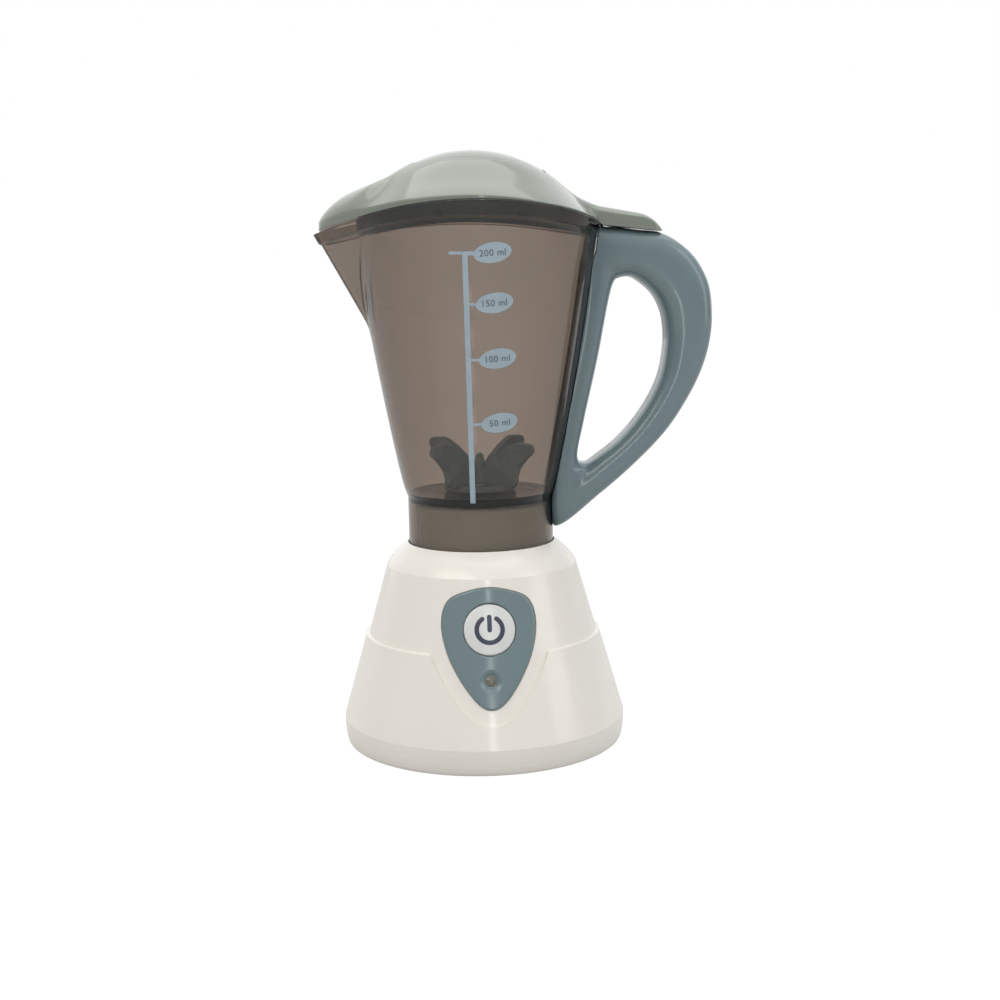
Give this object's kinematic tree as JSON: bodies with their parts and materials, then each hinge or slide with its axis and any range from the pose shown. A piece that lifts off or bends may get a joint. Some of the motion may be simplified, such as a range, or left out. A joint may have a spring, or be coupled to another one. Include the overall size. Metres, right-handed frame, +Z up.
{
  "type": "toy blender",
  "caption": "Toy blender: cone-shaped battery base with start button, lift-off smoky jug with handle and lip, spinning impeller, domed lid.",
  "frame": {"origin": "on the jug's axis, on the surface that the base stands on", "axes": "+Z up along the jug's axis, +X towards the handle, -X towards the pouring lip, -Y towards the start button"},
  "size_m": [0.1456, 0.1074, 0.2208],
  "materials": {
    "white_abs": "moulded, glossy",
    "grey_blue_abs": "moulded, glossy",
    "pale_grey_abs": "moulded",
    "smoky_clear": "clear moulded, smoky brown",
    "button_grey": "moulded, glossy",
    "lens": "clear moulded",
    "impeller_grey": "moulded",
    "dark_plastic": "moulded",
    "bush_acetal": "moulded",
    "board_green": "glass-filled board",
    "steel": "bright",
    "cell_jacket": "satin",
    "seal_rubber": "moulded",
    "wire_red": "insulated wire",
    "wire_black": "insulated wire"
  },
  "bodies": {
    "base": {"base_housing": "white_abs", "bottom_cover": "white_abs", "jug_seat": "pale_grey_abs", "control_panel": "grey_blue_abs", "indicator_led": "lens", "circuit_board": "board_green", "switch_body": "dark_plastic", "motor_can": "steel", "motor_end_cap": "dark_plastic", "motor_clamp": "dark_plastic", "batteries": "cell_jacket", "battery_contacts": "steel", "housing_screws": "steel", "seat_screws": "steel", "clamp_screws": "steel", "board_screws": "steel", "wires_red": "wire_red", "wires_black": "wire_black"},
    "door": {"battery_door": "white_abs", "door_screw": "steel"},
    "button": {"power_button": "button_grey", "switch_plunger": "dark_plastic"},
    "drive": {"motor_shaft": "steel", "drive_dog": "dark_plastic"},
    "jug": {"jug_body": "smoky_clear", "handle_front": "grey_blue_abs", "handle_back": "grey_blue_abs", "handle_screws": "steel", "blade_bush": "bush_acetal", "blade_seal": "seal_rubber"},
    "impeller": {"impeller": "impeller_grey", "blade_spindle": "steel", "blade_dog": "dark_plastic"},
    "lid": {"lid_shell": "grey_blue_abs", "lid_cap": "grey_blue_abs"}
  },
  "joints": [
    {"name": "door_lift", "type": "slide", "parent": "base", "child": "door", "axis": [0, 0, -1], "range_m": [0, 0.03]},
    {"name": "button_press", "type": "slide", "parent": "base", "child": "button", "axis": [0, 0.9611, -0.2763], "range_m": [0, 0.0015], "stiffness_N_per_m": 400, "springref_m": -0.001},
    {"name": "drive_spin", "type": "hinge", "parent": "base", "child": "drive", "pos_m": [0, 0, 0.08], "axis": [0, 0, 1], "continuous": true},
    {"name": "jug_lift", "type": "slide", "parent": "base", "child": "jug", "axis": [0, 0, 1], "range_m": [0, 0.06]},
    {"name": "impeller_spin", "type": "hinge", "parent": "jug", "child": "impeller", "pos_m": [0, 0, 0.095], "axis": [0, 0, 1], "continuous": true},
    {"name": "lid_lift", "type": "slide", "parent": "jug", "child": "lid", "axis": [0, 0, 1], "range_m": [0, 0.04]}
  ],
  "couplings": [
    {"joint": "drive_spin", "follows": "impeller_spin", "ratio": 1}
  ]
}
